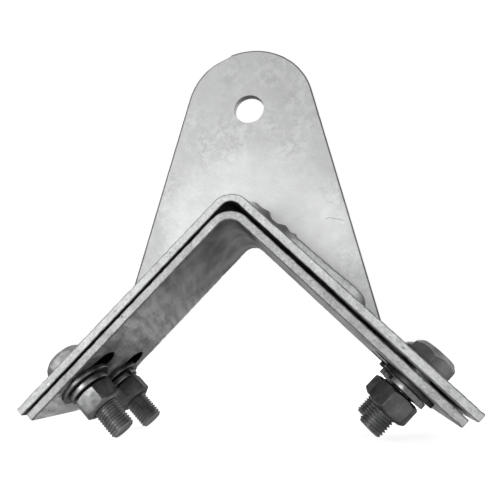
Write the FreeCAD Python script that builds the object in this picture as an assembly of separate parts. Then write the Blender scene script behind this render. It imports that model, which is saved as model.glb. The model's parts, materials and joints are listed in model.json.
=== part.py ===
import FreeCAD, Part
import math
import os

# Pole clamp: two nested bent straps that grip the corner of a pole, a lug plate welded across the
# outer one, and four bolts that draw the straps together.
# Millimetres. +Z is up, +Y points away from the viewer and runs along the lug's hole.
# The origin is the centre of the lug's hole, at the middle of the plate's thickness.

# Straps
STRAP_WIDTH = 90.0
STRAP_THICKNESS = 6.0
LEG_ANGLE = 45.0
OUTER_LEG = 195.0
INNER_LEG = 184.0
OUTER_BEND_OUTSIDE = 15.0
OUTER_BEND_INSIDE = 7.0
INNER_BEND_OUTSIDE = 16.0
INNER_BEND_INSIDE = 10.0
BAR_EDGE_RADIUS = 0.9
GAP_LEFT = 1.0
GAP_RIGHT = 2.0

# Lug plate
LUG_THICKNESS = 6.0
LUG_EYE_RADIUS = 48.0
LUG_HOLE_RADIUS = 11.0
LUG_FLARE_ANGLE = 14.2
LUG_LEAN_ANGLE = 1.3
EYE_HEIGHT = 72.7
EYE_OFFSET = 5.0

# Fillet welds along both faces of the lug
WELD_LEG = 8.0
WELD_BULGE = 0.9
WELD_REACH = 112.0

# M16 fasteners
BOLT_DIAMETER = 16.0
HEAD_ACROSS_FLATS = 27.0
HEAD_HEIGHT = 10.5
HEAD_CHAMFER_ANGLE = 42.0
HEAD_FACE_SHARE = 0.78
NUT_ACROSS_FLATS = 24.0
NUT_HEIGHT = 14.8
NUT_CHAMFER_ANGLE = 30.0
NUT_FACE_SHARE = 0.9
TIP_CHAMFER = 1.5
FLAT_WASHER_OUTSIDE = 34.0
FLAT_WASHER_THICKNESS = 3.0
SPRING_WASHER_WIDTH = 5.2
SPRING_WASHER_THICKNESS = 3.5
SPRING_WASHER_HEIGHT = 5.0
SPRING_WASHER_SPLIT_ANGLE = 12.0

# Where the bolts go
BOLT_ALONG_LEG = 160.0
ROW_SPACING = 48.0
SLOT_TOWARDS_BEND = 18.0
SLOT_TOWARDS_END = 2.0
LEFT_BOLT_LENGTH = 55.0
RIGHT_BOLT_LENGTH = 50.0

# Clearances: the first three on the bolt's diameter, the thread's on its radius
BOLT_HOLE_CLEARANCE = 2.0
FLAT_WASHER_CLEARANCE = 1.5
SPRING_WASHER_CLEARANCE = 0.8
THREAD_CLEARANCE = 0.05
SEAT_CLEARANCE = 0.02

# Each corner: its side, its row, and how far its head, nut and washer split are turned, in degrees
CORNERS = {
    "left_front": ("left", "front", 46.0, 0.0, 60.0),
    "left_back": ("left", "back", 20.0, 22.0, 200.0),
    "right_front": ("right", "front", 38.0, 49.0, 138.0),
    "right_back": ("right", "back", 28.0, 15.0, 250.0),
}

HALF = math.radians(LEG_ANGLE)
UP = FreeCAD.Vector(0, 0, 1)
DEPTH = FreeCAD.Vector(0, 1, 0)
ORIGIN = FreeCAD.Vector(0, 0, 0)
FRONT_FACE = -STRAP_WIDTH / 2
APEX = FreeCAD.Vector(-EYE_OFFSET, FRONT_FACE, -EYE_HEIGHT)
BOLT_HOLE = BOLT_DIAMETER + BOLT_HOLE_CLEARANCE
BOLT_LENGTHS = {"left": LEFT_BOLT_LENGTH, "right": RIGHT_BOLT_LENGTH}
GAPS = {"left": GAP_LEFT, "right": GAP_RIGHT}
ROWS = {
    "front": STRAP_WIDTH / 2 - ROW_SPACING / 2,
    "back": STRAP_WIDTH / 2 + ROW_SPACING / 2,
}


def along(side):
    """Unit vector down a leg, from the bend to its end."""
    sign = -1 if side == "left" else 1
    return FreeCAD.Vector(sign * math.sin(HALF), 0, -math.cos(HALF))


def inward(side):
    """Unit vector square to a leg, into the space between the legs."""
    sign = 1 if side == "left" else -1
    return FreeCAD.Vector(sign * math.cos(HALF), 0, -math.sin(HALF))


def point(side, distance, inset, depth):
    """A point given by its distance down a leg, its inset from the outer face and its depth."""
    return APEX + along(side) * distance + inward(side) * inset + DEPTH * depth


def bend(corner, radius):
    """Arc that rounds the corner between the two legs, left to right."""
    tangent = radius / math.tan(HALF)
    crown = corner - UP * (radius / math.sin(HALF) - radius)
    return Part.Arc(corner + along("left") * tangent, crown, corner + along("right") * tangent).toShape()


def bent_bar(corner, leg, outside_radius, inside_radius):
    """Flat bar bent at its middle, with its rolled edges rounded."""
    inside_corner = corner - UP * (STRAP_THICKNESS / math.sin(HALF))
    outside = bend(corner, outside_radius)
    inside = bend(inside_corner, inside_radius)
    ends = {}
    for side in ("left", "right"):
        outer_end = corner + along(side) * leg
        ends[side] = (outer_end, outer_end + inward(side) * STRAP_THICKNESS)
    edges = [
        Part.LineSegment(ends["left"][0], outside.Vertexes[0].Point).toShape(),
        outside,
        Part.LineSegment(outside.Vertexes[1].Point, ends["right"][0]).toShape(),
        Part.LineSegment(*ends["right"]).toShape(),
        Part.LineSegment(ends["right"][1], inside.Vertexes[1].Point).toShape(),
        inside,
        Part.LineSegment(inside.Vertexes[0].Point, ends["left"][1]).toShape(),
        Part.LineSegment(ends["left"][1], ends["left"][0]).toShape(),
    ]
    bar = Part.Face(Part.Wire(Part.__sortEdges__(edges))).extrude(DEPTH * STRAP_WIDTH)
    return bar.makeFillet(BAR_EDGE_RADIUS, rolled_edges(bar))


def rolled_edges(bar):
    """Edges that run the length of the bar, along its front and back faces."""
    chosen = []
    for edge in bar.Edges:
        box = edge.BoundBox
        across = box.YLength > BAR_EDGE_RADIUS
        at_end = isinstance(edge.Curve, Part.Line) and edge.Length < STRAP_THICKNESS + BAR_EDGE_RADIUS
        if not across and not at_end:
            chosen.append(edge)
    return chosen


def seat(side, distance, inset, depth):
    """Placement whose x runs down the leg and whose z runs inward, at a point of that leg."""
    x_axis = along(side)
    z_axis = inward(side)
    y_axis = z_axis.cross(x_axis)
    base = point(side, distance, inset, depth)
    matrix = FreeCAD.Matrix(
        x_axis.x, y_axis.x, z_axis.x, base.x,
        x_axis.y, y_axis.y, z_axis.y, base.y,
        x_axis.z, y_axis.z, z_axis.z, base.z,
        0, 0, 0, 1)
    return FreeCAD.Placement(matrix)


def placed(shape, placement):
    """A copy of a shape, moved from its own frame to its seat."""
    copy = shape.copy()
    copy.Placement = placement.multiply(copy.Placement)
    return copy


def turned(shape, angle):
    """A copy of a shape turned about its own z axis."""
    copy = shape.copy()
    copy.rotate(ORIGIN, UP, angle)
    return copy


def hole_cutter():
    """Round hole through the outer strap, from outside its outer face."""
    return Part.makeCylinder(BOLT_HOLE / 2, 3 * STRAP_THICKNESS, FreeCAD.Vector(0, 0, -STRAP_THICKNESS), UP)


def slot_cutter():
    """Slot through the inner strap: long towards the bend, so the strap clears the bolt as it opens."""
    radius = BOLT_HOLE / 2
    height = 3 * STRAP_THICKNESS
    near = FreeCAD.Vector(-SLOT_TOWARDS_BEND, 0, -STRAP_THICKNESS)
    far = FreeCAD.Vector(SLOT_TOWARDS_END, 0, -STRAP_THICKNESS)
    middle = Part.makeBox(far.x - near.x, BOLT_HOLE, height, near - FreeCAD.Vector(0, radius, 0))
    near_end = Part.makeCylinder(radius, height, near, UP)
    far_end = Part.makeCylinder(radius, height, far, UP)
    return middle.fuse([near_end, far_end]).removeSplitter()


def inner_corner():
    """Corner of the inner strap's outer face, set by the gap on each side."""
    left = STRAP_THICKNESS + GAP_LEFT
    right = STRAP_THICKNESS + GAP_RIGHT
    sideways = (left - right) / (2 * math.cos(HALF))
    down = (left + right) / (2 * math.sin(HALF))
    return APEX + FreeCAD.Vector(sideways, 0, -down)


def outer_angle():
    bar = bent_bar(APEX, OUTER_LEG, OUTER_BEND_OUTSIDE, OUTER_BEND_INSIDE)
    cutters = [placed(hole_cutter(), seat(side, BOLT_ALONG_LEG, 0, depth))
               for side in GAPS for depth in ROWS.values()]
    return bar.cut(cutters)


def inner_angle():
    bar = bent_bar(inner_corner(), INNER_LEG, INNER_BEND_OUTSIDE, INNER_BEND_INSIDE)
    cutters = [placed(slot_cutter(), seat(side, BOLT_ALONG_LEG, STRAP_THICKNESS + gap, depth))
               for side, gap in GAPS.items() for depth in ROWS.values()]
    return bar.cut(cutters)


def below_outer_face():
    """Block that fills everything under the outer strap's outer face, to trim the lug to it."""
    crown = bend(APEX, OUTER_BEND_OUTSIDE)
    left_end = APEX + along("left") * (2 * OUTER_LEG)
    right_end = APEX + along("right") * (2 * OUTER_LEG)
    edges = [
        Part.LineSegment(left_end, crown.Vertexes[0].Point).toShape(),
        crown,
        Part.LineSegment(crown.Vertexes[1].Point, right_end).toShape(),
        Part.LineSegment(right_end, left_end).toShape(),
    ]
    return Part.Face(Part.Wire(Part.__sortEdges__(edges))).extrude(DEPTH * STRAP_WIDTH)


def lug_plate():
    """Round-topped plate that flares down to the outer strap, with the hole at its origin."""
    flare = math.radians(LUG_FLARE_ANGLE)
    reach = EYE_HEIGHT + OUTER_LEG
    side_top = FreeCAD.Vector(LUG_EYE_RADIUS * math.cos(flare), 0, LUG_EYE_RADIUS * math.sin(flare))
    side_foot = side_top + FreeCAD.Vector(math.sin(flare), 0, -math.cos(flare)) * reach
    top = FreeCAD.Vector(0, 0, LUG_EYE_RADIUS)
    mirrored_top = FreeCAD.Vector(-side_top.x, 0, side_top.z)
    mirrored_foot = FreeCAD.Vector(-side_foot.x, 0, side_foot.z)
    edges = [
        Part.Arc(mirrored_top, top, side_top).toShape(),
        Part.LineSegment(side_top, side_foot).toShape(),
        Part.LineSegment(side_foot, mirrored_foot).toShape(),
        Part.LineSegment(mirrored_foot, mirrored_top).toShape(),
    ]
    plate = Part.Face(Part.Wire(edges)).extrude(DEPTH * LUG_THICKNESS)
    plate.translate(DEPTH * (-LUG_THICKNESS / 2))
    plate.rotate(ORIGIN, DEPTH, LUG_LEAN_ANGLE)
    hole = Part.makeCylinder(
        LUG_HOLE_RADIUS, 2 * LUG_THICKNESS, FreeCAD.Vector(0, -LUG_THICKNESS, 0), DEPTH)
    return plate.cut(hole).cut(below_outer_face())


def weld_section(side, outward_depth):
    """Cross-section of a bead, square to its leg where its straight run begins."""
    start = WELD_REACH
    toe_depth = STRAP_WIDTH / 2 + outward_depth * LUG_THICKNESS / 2
    root = point(side, start, 0, toe_depth)
    on_lug = root - inward(side) * WELD_LEG
    on_strap = root + DEPTH * (outward_depth * WELD_LEG)
    middle = (on_lug + on_strap) * 0.5
    out = DEPTH * outward_depth - inward(side)
    crown = middle + out * (WELD_BULGE / math.sqrt(2))
    edges = [
        Part.LineSegment(root, on_lug).toShape(),
        Part.Arc(on_lug, crown, on_strap).toShape(),
        Part.LineSegment(on_strap, root).toShape(),
    ]
    return Part.Face(Part.Wire(edges)), root


def weld(outward_depth):
    """Bead along one face of the lug: two straight runs, the bend between them and two round ends."""
    tangent = OUTER_BEND_OUTSIDE / math.tan(HALF)
    centre = APEX - UP * (OUTER_BEND_OUTSIDE / math.sin(HALF))
    pieces = []
    for side in ("left", "right"):
        section, root = weld_section(side, outward_depth)
        pieces.append(section.extrude(along(side) * (tangent - WELD_REACH)))
        turn = -90 if (side == "left") == (outward_depth > 0) else 90
        pieces.append(section.revolve(root, inward(side), turn))
    section, root = weld_section("left", outward_depth)
    section.translate(along("left") * (tangent - WELD_REACH))
    pieces.append(section.revolve(centre, DEPTH, 180 - 2 * LEG_ANGLE))
    return pieces[0].fuse(pieces[1:]).removeSplitter()


def chamfered_hexagon(across_flats, height, face_share, chamfer_angle, chamfer_top):
    """Hexagonal prism on z from 0, with its corners turned off below, and above where asked."""
    corner = across_flats / 2 / math.cos(math.radians(30))
    points = [FreeCAD.Vector(corner * math.cos(math.radians(a)), corner * math.sin(math.radians(a)), 0)
              for a in range(0, 361, 60)]
    prism = Part.Face(Part.makePolygon(points)).extrude(UP * height)
    face = across_flats / 2 * face_share
    drop = (corner - face) * math.tan(math.radians(chamfer_angle))
    profile = [FreeCAD.Vector(0, 0, 0), FreeCAD.Vector(face, 0, 0), FreeCAD.Vector(corner, 0, drop)]
    profile += [FreeCAD.Vector(corner, 0, height - drop if chamfer_top else height)]
    profile += [FreeCAD.Vector(face, 0, height)] if chamfer_top else []
    profile += [FreeCAD.Vector(0, 0, height), FreeCAD.Vector(0, 0, 0)]
    return prism.common(Part.Face(Part.makePolygon(profile)).revolve(ORIGIN, UP, 360))


def bolt(length, head_turn):
    """Hexagon bolt with its head below z 0 and its shank above."""
    blank = chamfered_hexagon(HEAD_ACROSS_FLATS, HEAD_HEIGHT, HEAD_FACE_SHARE, HEAD_CHAMFER_ANGLE, False)
    head = turned(blank, head_turn)
    head.translate(UP * -HEAD_HEIGHT)
    radius = BOLT_DIAMETER / 2
    profile = [
        FreeCAD.Vector(0, 0, -HEAD_HEIGHT / 2),
        FreeCAD.Vector(radius, 0, -HEAD_HEIGHT / 2),
        FreeCAD.Vector(radius, 0, length - TIP_CHAMFER),
        FreeCAD.Vector(radius - TIP_CHAMFER, 0, length),
        FreeCAD.Vector(0, 0, length),
        FreeCAD.Vector(0, 0, -HEAD_HEIGHT / 2),
    ]
    shank = Part.Face(Part.makePolygon(profile)).revolve(ORIGIN, UP, 360)
    return head.fuse(shank).removeSplitter()


def nut(nut_turn):
    """Hexagon nut on z from 0, bored to run on the bolt and countersunk at both ends."""
    radius = BOLT_DIAMETER / 2 + THREAD_CLEARANCE
    mouth = radius + TIP_CHAMFER / 2
    depth = TIP_CHAMFER / 2
    profile = [
        FreeCAD.Vector(0, 0, 0),
        FreeCAD.Vector(mouth, 0, 0),
        FreeCAD.Vector(radius, 0, depth),
        FreeCAD.Vector(radius, 0, NUT_HEIGHT - depth),
        FreeCAD.Vector(mouth, 0, NUT_HEIGHT),
        FreeCAD.Vector(0, 0, NUT_HEIGHT),
        FreeCAD.Vector(0, 0, 0),
    ]
    bore = Part.Face(Part.makePolygon(profile)).revolve(ORIGIN, UP, 360)
    blank = chamfered_hexagon(NUT_ACROSS_FLATS, NUT_HEIGHT, NUT_FACE_SHARE, NUT_CHAMFER_ANGLE, True)
    return turned(blank.cut(bore), nut_turn)


def flat_washer():
    inside = (BOLT_DIAMETER + FLAT_WASHER_CLEARANCE) / 2
    disc = Part.makeCylinder(FLAT_WASHER_OUTSIDE / 2, FLAT_WASHER_THICKNESS)
    return disc.cut(Part.makeCylinder(inside, FLAT_WASHER_THICKNESS))


def spring_washer(split_turn):
    """One left-hand turn of square-cut steel, sprung open at its split."""
    inside = (BOLT_DIAMETER + SPRING_WASHER_CLEARANCE) / 2
    outside = inside + SPRING_WASHER_WIDTH
    rise = SPRING_WASHER_HEIGHT - SPRING_WASHER_THICKNESS
    share = 1 - SPRING_WASHER_SPLIT_ANGLE / 360
    helix = Part.makeHelix(rise / share, rise, (inside + outside) / 2)
    section = Part.makePolygon([
        FreeCAD.Vector(inside, 0, 0),
        FreeCAD.Vector(outside, 0, 0),
        FreeCAD.Vector(outside, 0, SPRING_WASHER_THICKNESS),
        FreeCAD.Vector(inside, 0, SPRING_WASHER_THICKNESS),
        FreeCAD.Vector(inside, 0, 0),
    ])
    right_hand = Part.Wire(helix.Edges).makePipeShell([section], True, True)
    return turned(right_hand.mirror(ORIGIN, DEPTH), split_turn)


def corner_pieces(name):
    """The bolt, washers and nut of one corner, each at its own inset from the outer face."""
    side, row, head_turn, nut_turn, split_turn = CORNERS[name]
    washer_inset = 2 * STRAP_THICKNESS + GAPS[side] + SEAT_CLEARANCE
    spring_inset = washer_inset + FLAT_WASHER_THICKNESS
    nut_inset = spring_inset + SPRING_WASHER_HEIGHT + SEAT_CLEARANCE
    own = {
        "bolt": (bolt(BOLT_LENGTHS[side], head_turn), 0),
        "flat_washer": (flat_washer(), washer_inset),
        "spring_washer": (spring_washer(split_turn), spring_inset),
        "nut": (nut(nut_turn), nut_inset),
    }
    return {kind + "_" + name: placed(shape, seat(side, BOLT_ALONG_LEG, inset, ROWS[row]))
            for kind, (shape, inset) in own.items()}


def all_pieces():
    pieces = {
        "outer_angle": outer_angle(),
        "inner_angle": inner_angle(),
        "lug_plate": lug_plate(),
        "weld_front": weld(-1),
        "weld_back": weld(1),
    }
    for name in CORNERS:
        pieces.update(corner_pieces(name))
    return pieces


os.makedirs("parts", exist_ok=True)
for node, shape in all_pieces().items():
    shape.exportStep("parts/" + node + ".step")
    print(node, len(shape.Solids), shape.isValid(), round(shape.Volume, 1))
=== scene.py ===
import json
import math

import bpy
import numpy as np
from mathutils import Matrix, Vector, noise

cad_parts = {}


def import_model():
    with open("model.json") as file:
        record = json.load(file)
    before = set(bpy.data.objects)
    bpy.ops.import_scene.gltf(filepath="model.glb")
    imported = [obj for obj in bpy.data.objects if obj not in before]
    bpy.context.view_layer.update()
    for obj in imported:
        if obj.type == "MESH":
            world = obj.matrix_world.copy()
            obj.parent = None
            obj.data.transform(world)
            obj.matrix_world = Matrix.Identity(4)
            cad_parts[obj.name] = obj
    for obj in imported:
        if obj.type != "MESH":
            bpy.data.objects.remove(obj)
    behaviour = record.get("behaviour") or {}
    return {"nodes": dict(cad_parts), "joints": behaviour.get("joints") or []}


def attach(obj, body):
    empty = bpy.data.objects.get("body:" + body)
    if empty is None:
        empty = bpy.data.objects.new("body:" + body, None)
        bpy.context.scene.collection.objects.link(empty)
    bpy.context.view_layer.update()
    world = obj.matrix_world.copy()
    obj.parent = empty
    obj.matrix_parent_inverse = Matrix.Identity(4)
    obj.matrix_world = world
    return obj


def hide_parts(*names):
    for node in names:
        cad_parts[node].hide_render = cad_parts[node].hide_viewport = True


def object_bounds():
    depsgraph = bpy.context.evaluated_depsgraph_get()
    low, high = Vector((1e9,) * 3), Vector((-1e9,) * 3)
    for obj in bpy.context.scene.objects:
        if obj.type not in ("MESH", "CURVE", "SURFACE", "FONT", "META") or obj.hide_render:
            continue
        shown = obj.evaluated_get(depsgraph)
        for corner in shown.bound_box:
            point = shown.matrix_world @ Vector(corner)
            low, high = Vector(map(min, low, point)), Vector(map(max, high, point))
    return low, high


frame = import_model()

# Pole clamp of galvanised steel. Metres, +Z up, +Y away from the viewer; the origin is the centre
# of the lug's hole. Sizes given here in millimetres are turned to metres by MM.
MM = 0.001
CAD_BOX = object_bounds()

# Straps. A bend is (radius of its outer face, of its inner face). CORNER is where the outer strap's outer
# faces would meet without their bend. SLOT is how far its end centres lie down the leg from the bolt
STRAP_HALF_WIDTH = 45.0
STRAP_THICKNESS = 6.0
OUTER_LEG = 195.0
INNER_LEG = 184.0
OUTER_BEND = (15.0, 7.0)
INNER_BEND = (16.0, 10.0)
GAP_LEFT = 1.0
GAP_RIGHT = 2.0
CORNER = np.array([-5.0, 0.0, -72.7])
ROLLED_EDGE = 0.9
END_ROUNDING = 0.8
BOLT_ALONG_LEG = 160.0
ROWS = (-24.0, 24.0)
HOLE_RADIUS = 9.0
SLOT = (-18.0, 2.0)

# Strap meshes: spacing of their points, and the steps of their arcs and narrow edges
STATION_STEP = 1.2
ACROSS_STEP = 3.0
BEND_STEPS = 20
ROUNDING_STEPS = 4
EDGE_STEPS = 5
HOLE_STEPS = 16
CUTTER_DEPTHS = (-4.0, 20.0)

# Strap wear: how deep a face dips and how deep a worn edge is chipped and dented, towards points of the
# bar's middle plane that are spread over WEAR_AIM of its width
WEAR_AIM = 0.97
FACE_DIP = 0.07
EDGE_CHIP = 0.42
EDGE_DENT = 0.45

# Strap shades, all painted. The rounded edges get painted shade, and the mating face gets painted shade near
# black for the gap between the straps, up to an unshaded border by the bar's sides, which widens over the
# last part of the right leg. The inner strap gets painted shade round its bolts and in its bend, lightening
# down its legs over the heights of DARK_BEND, painted light at its left end over those of LIGHT_END, and
# painted shade on its right leg, setting in over LEG_CHANGE. All in metres
# How much the rounded edges are darkened, as painted shade
ROUNDED_EDGE_SHADE = 0.7
MATING_SHADE = 0.03
# How much, in millimetres, the unshaded border of the mating face widens by the right leg's end
MATING_UNSHADED = 6.0
# The share of the right leg's length from which that border starts to widen
UNSHADED_FROM = 0.45
# How far, in millimetres, the painted shade round a bolt sits up the leg from it
SHADE_UP_LEG = 12.0
DARK_BEND = (-0.165, -0.102)
LIGHT_END = (-0.212, -0.179)
LEG_CHANGE = (-0.03, 0.03)

# Lug plate
LUG_HALF_THICKNESS = 3.0
LUG_EYE_RADIUS = 48.0
LUG_HOLE_RADIUS = 11.0
LUG_FLARE = math.radians(14.2)
LUG_LEAN = math.radians(1.3)
LUG_EDGE = 0.7
HOLE_EDGE = 0.5
LUG_DIRECTIONS = 360
LUG_RINGS = 20
LAST_RING = 0.4
RIM_WAVE = 0.22
RIM_NICK = 0.2
LUG_DIP = 0.1

# The hammered shoulder of the lug: its two directions, the edge rounding there, its deepest dent and
# the share of the turn within which the dent sets in
SHOULDER = np.radians((107.0, 131.0))
SHOULDER_EDGES = (1.9, 1.1)
SHOULDER_DENT = 0.75
SHOULDER_ONSET = 0.2

# Welds. A lump is (place along the bead from the bend, rise, half length)
FRONT_LUMPS = (
    (27.0, -2.4, 16.0), (8.0, 0.9, 2.6), (18.5, 2.0, 3.6),
    (34.5, 2.6, 4.6), (43.5, 1.2, 2.0), (98.0, 1.0, 14.0))
BACK_LUMPS = ((-60.0, 1.5, 4.0), (22.0, 1.4, 5.0))
WELD_END = 112.0
WELD_STEP = 0.6
WELD_ARC_STEPS = 30
WELD_SECTION_STEPS = 12
WELD_SUNK = 0.3
WELD_THINNEST = 0.05
WELD_HEIGHT = 8.0
WELD_WIDTH = 7.6
WELD_BULGE = 1.8
WELD_TAPER = 11.0
WELD_DARK_END = 8.0
RIPPLE_PITCH = 2.7
RIPPLE_DEPTH = 0.28
RIPPLE_SWAY = 0.5
HEIGHT_SWAY = 0.4
HEIGHT_ROUGH = 0.25
WIDTH_SWAY = 0.7
BULGE_ROUGH = 0.5
LUMP_BULGE = 0.45
# Where the bead is dark near the bend: its place along the bead from the bend, and its half length
DARK_PLACE = 27.0
DARK_HALF = 20.0

# Nuts: the radius of the flat on their outer end, the slope of its turned-off corners, and their bore
NUT_FACE = 10.0
NUT_WEAR = 0.62
NUT_ROUNDING = 0.35
BORE_CHAMFER = 0.75

# Washers
WASHER_COLUMNS = 72
WASHER_ROUNDING = 0.4
SPRING_THICKNESS = 3.5
SPRING_STEPS = 80

# Bolts and their threads. HEX_PLAY is how far a hexagon's corners stay inside those of the CAD node.
# THREAD_CREST and THREAD_FLANK are shares of the half pitch from the middle of a crest to that of a root
HEX_PLAY = 0.02
HEAD_ROUNDING = 0.4
HEAD_MIDDLE = 0.3
HEAD_TURNED_POINTS = 10
SHANK_START = 0.2
THREAD_START = 12.0
PITCH = 2.0
THREAD_DEPTH = 1.15
THREAD_CREST = 0.12
THREAD_FLANK = 0.72
THREAD_ROWS = 12
THREAD_COLUMNS = 48
TIP_CHAMFER = 1.5
TIP_SLOPE = 0.9

# Camera, from the photograph
CAMERA_AT = (0.061476, -0.332886, -0.176396)
CAMERA_FORWARD = (-0.180577, 0.962536, 0.202279)
CAMERA_UP = (0.047929, -0.196804, 0.979271)
SENSOR = 36.0
LENS = 35.31

# Surfaces. A streak runs along its course and is longer than wide by its length
STREAK_COURSE = (0.19, 0.96, -0.19)
STREAK_ACROSS = (0.68, -0.26, -0.68)
STREAK_SCALE = 150.0
STREAK_LENGTH = 5.0
WIDE_FACE = (0.0436, 0.0444)
ZINC_METALLIC = 0.05
ZINC_GLOSS = 0.2
ZINC_ROUGHNESS = (0.41, 0.61)
STEEL_GRAZING_TINT = (0.25, 0.25, 0.25, 1.0)
STEEL_GLOSS = 0.2
STEEL_SCUFFS = 0.3
# Brightness of each nut; the left front one is set lighter as painted light
NUT_PAINTED_TONES = {"left_front": 0.13, "left_back": 0.085, "right_front": 0.085, "right_back": 0.085}

# The scratch low on the lug's right side, as points of the XZ plane: its course and its hooked end
SCRATCH = ((54.9, -87.0), (66.3, -89.9))
SCRATCH_HOOK = ((52.8, -88.1), (55.6, -86.8))
SCRATCH_HALF_WIDTH = 0.3

# Studio: the floor's size and place under the object, and each light's place, aim, side and power
FLOOR_HALF = 12.0
FLOOR_GAP = 0.0002
WORLD_FILL = 0.16
LIGHTS = (
    ("key", (-0.48, -0.92, -0.05), (0.0, 0.0, -0.12), 0.6, 8.7),
    ("fill", (0.62, -0.7, -0.5), (0.0, 0.0, -0.15), 0.3, 1.1),
    ("right", (0.75, -0.7, 0.3), (0.05, 0.0, -0.12), 0.4, 1.2),
    ("back", (0.35, 1.1, 0.25), (0.0, 0.0, -0.12), 0.8, 7.0),
    ("top", (0.3, 0.5, 1.0), (0.0, 0.0, -0.1), 0.9, 1.6))

CORNERS = ("left_front", "left_back", "right_front", "right_back")
NOISE_SHIFT = (17.31, 5.77, 11.13)
SIN45 = math.sqrt(0.5)
Y_AXIS = np.array([0.0, 1.0, 0.0])


def along(side):
    """Unit vector down a leg, from the bend to its end."""
    return np.array([-SIN45 if side == "left" else SIN45, 0.0, -SIN45])


def inward(side):
    """Unit vector square to a leg, into the space between the legs."""
    return np.array([SIN45 if side == "left" else -SIN45, 0.0, -SIN45])


def smooth_noise(points, size, seed):
    """Smooth noise from about -1 to 1 at points in millimetres, with bumps of about the given size."""
    shift = Vector([seed * step for step in NOISE_SHIFT])
    return np.array([noise.noise(Vector(p) / size + shift) for p in points])


def grid_piece(name, grid, wrap_rows=False, cap_ends=False):
    """A mesh through a grid of points in millimetres, grid[row][column], with every row a closed loop."""
    rows, columns = grid.shape[:2]
    mesh = bpy.data.meshes.new(name)
    faces = []
    for i in range(rows if wrap_rows else rows - 1):
        here, below = i * columns, (i + 1) % rows * columns
        for j in range(columns):
            right = (j + 1) % columns
            faces.append((here + j, here + right, below + right, below + j))
    if cap_ends:
        faces.append(tuple(reversed(range(columns))))
        faces.append(tuple(range((rows - 1) * columns, rows * columns)))
    mesh.from_pydata((grid.reshape(-1, 3) * MM).tolist(), [], faces)
    mesh.update()
    piece = bpy.data.objects.new(name, mesh)
    bpy.context.scene.collection.objects.link(piece)
    return piece


def store(piece, name, values):
    """Keeps one number per vertex, for the materials to read."""
    attribute = piece.data.attributes.new(name, "FLOAT", "POINT")
    attribute.data.foreach_set("value", np.asarray(values, np.float32).ravel())


def finish_piece(piece, body, nodes, materials, sharp_angle=35.0):
    """Turns the normals outward, shades it, ties it to its body, hides its CAD nodes and adds its materials.
    """
    mesh = piece.data
    if signed_volume(mesh) < 0:
        mesh.flip_normals()
    mesh.shade_smooth()
    mesh.set_sharp_from_angle(angle=math.radians(sharp_angle))
    for material in materials:
        mesh.materials.append(material)
    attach(piece, body)
    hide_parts(*nodes)


def signed_volume(mesh):
    """Above zero where a closed mesh's normals point outward."""
    mesh.calc_loop_triangles()
    points = np.array([v.co for v in mesh.vertices])
    corners = points[np.array([t.vertices for t in mesh.loop_triangles])]
    return np.einsum("ij,ij->i", corners[:, 0], np.cross(corners[:, 1], corners[:, 2])).sum()


def join_pieces(name, pieces):
    """One object from several, keeping the first one's place and material order."""
    with bpy.context.temp_override(active_object=pieces[0], selected_editable_objects=pieces):
        bpy.ops.object.join()
    pieces[0].name = name
    return pieces[0]


def cut(piece, cutters):
    """Cuts closed meshes out of a piece and removes them."""
    for cutter in cutters:
        modifier = piece.modifiers.new("cut", "BOOLEAN")
        modifier.operation = "DIFFERENCE"
        modifier.solver = "EXACT"
        modifier.object = cutter
    graph = bpy.context.evaluated_depsgraph_get()
    mesh = bpy.data.meshes.new_from_object(piece.evaluated_get(graph), depsgraph=graph)
    piece.modifiers.clear()
    piece.data = mesh
    for cutter in cutters:
        bpy.data.objects.remove(cutter)


# Straps


def bend_points(corner, radius, steps):
    """Arc between the legs, from the left leg to the right one."""
    centre = corner - np.array([0.0, 0.0, radius / SIN45])
    angles = np.radians(np.linspace(135, 45, steps + 1))
    return [centre + radius * np.array([math.cos(a), 0.0, math.sin(a)]) for a in angles]


def strap_lines(corner, leg, radii):
    """Matching points down the strap's outer and inner faces, from the left end to the right end."""
    count = int(leg / STATION_STEP)

    def line(bend_corner, radius, depth):
        left, right = (corner + along(side) * leg + inward(side) * depth for side in ("left", "right"))
        bend = bend_points(bend_corner, radius, BEND_STEPS)
        points = [left + (bend[0] - left) * i / count for i in range(count)]
        points += bend
        points += [bend[-1] + (right - bend[-1]) * i / count for i in range(1, count + 1)]
        return np.array(points)

    inner_corner = corner - np.array([0.0, 0.0, STRAP_THICKNESS / SIN45])
    return line(corner, radii[0], 0.0), line(inner_corner, radii[1], STRAP_THICKNESS)


def bar_section(inset):
    """Closed outline of the flat bar's section, as (place across its width, place through its thickness)."""
    half_t = STRAP_THICKNESS / 2 - inset
    half_w = STRAP_HALF_WIDTH - inset
    r = ROLLED_EDGE
    outline = []
    across = int(2 * STRAP_HALF_WIDTH / ACROSS_STEP)
    for sign_w, sign_t, start in ((1, 1, 0), (-1, 1, 90), (-1, -1, 180), (1, -1, 270)):
        middle_w, middle_t = sign_w * (half_w - r), sign_t * (half_t - r)
        for step in range(ROUNDING_STEPS + 1):
            a = math.radians(start + 90 * step / ROUNDING_STEPS)
            outline.append((middle_w + r * math.cos(a), middle_t + r * math.sin(a)))
        if sign_w * sign_t > 0:
            spaced = np.linspace(middle_w, -middle_w, across + 1)[1:-1]
            outline += [(w, sign_t * half_t) for w in spaced]
        else:
            spaced = np.linspace(middle_t, -middle_t, EDGE_STEPS + 1)[1:-1]
            outline += [(sign_w * half_w, t) for t in spaced]
    return np.array(outline)


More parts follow.
